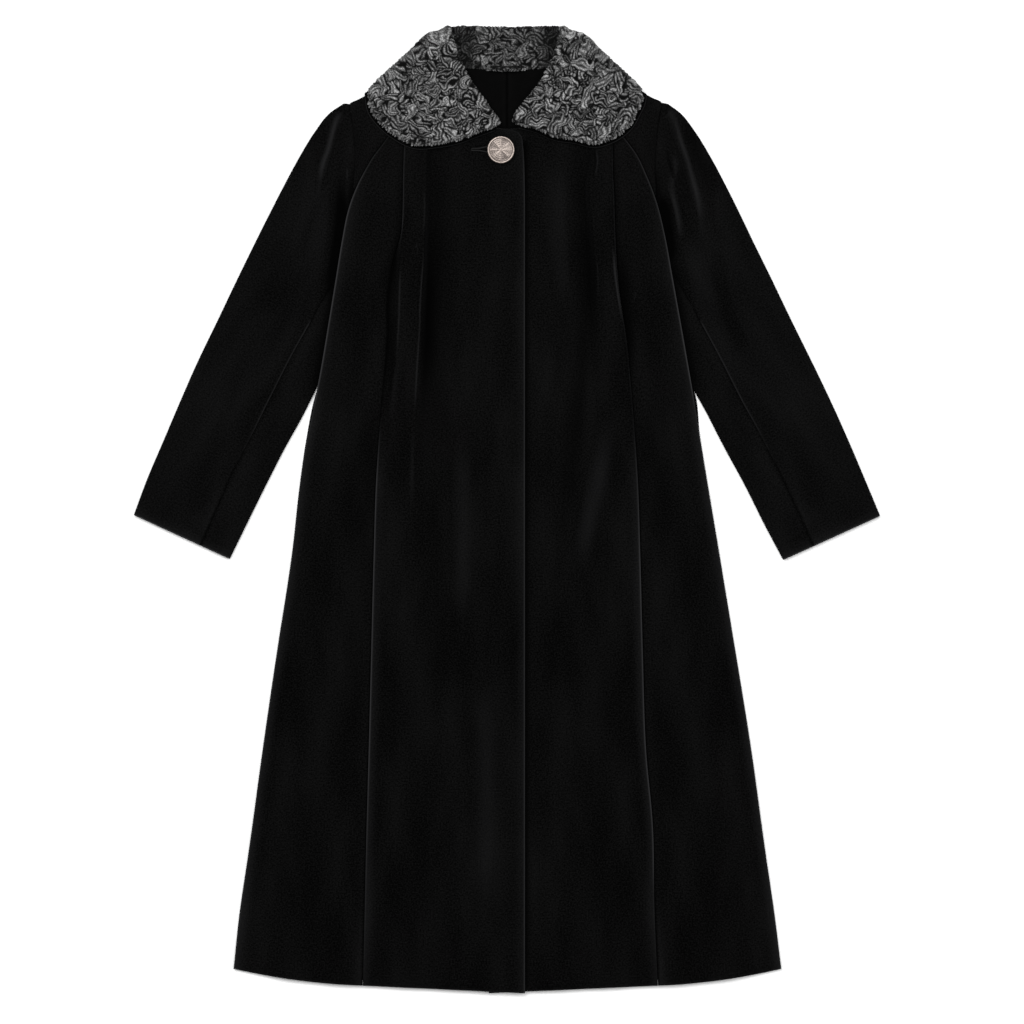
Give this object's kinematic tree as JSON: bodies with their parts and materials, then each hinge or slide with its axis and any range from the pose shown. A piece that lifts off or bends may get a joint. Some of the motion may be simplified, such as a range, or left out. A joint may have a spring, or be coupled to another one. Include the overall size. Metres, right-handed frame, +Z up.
{
  "type": "swing coat laid flat",
  "caption": "Long flared velvet coat with a wide curled-pile collar, princess seams and one neck button, laid flat on its back.",
  "frame": {"origin": "middle of the outline, on the surface that the coat lies on", "axes": "+Y from hem to neck, +X to the wearer's left, +Z up from the surface, out of the fronts"},
  "size_m": [0.8952, 1.1622, 0.027],
  "materials": {
    "velvet": "black cotton velvet, short dense pile",
    "curled_pile": "grey curled lamb-like pile",
    "under_collar": "black velvet",
    "lining": "black satin lining",
    "welt": "black corded cloth",
    "button": "pearly grey with a fine textured face"
  },
  "bodies": {
    "root": {"back_right": "velvet", "side_front_right": "velvet", "yoke_right": "velvet", "top_sleeve_right": "velvet", "under_sleeve_right": "velvet", "front_right": "velvet", "upper_collar_right": "curled_pile", "under_collar_right": "under_collar", "back_left": "velvet", "side_front_left": "velvet", "yoke_left": "velvet", "top_sleeve_left": "velvet", "under_sleeve_left": "velvet", "front_left": "velvet", "upper_collar_left": "curled_pile", "under_collar_left": "under_collar", "upper_collar_back": "curled_pile", "under_collar_back": "under_collar", "back_lining": "lining", "hanger_loop": "curled_pile", "buttonhole_welt_upper": "welt", "buttonhole_welt_lower": "welt", "button": "button"}
  },
  "joints": []
}
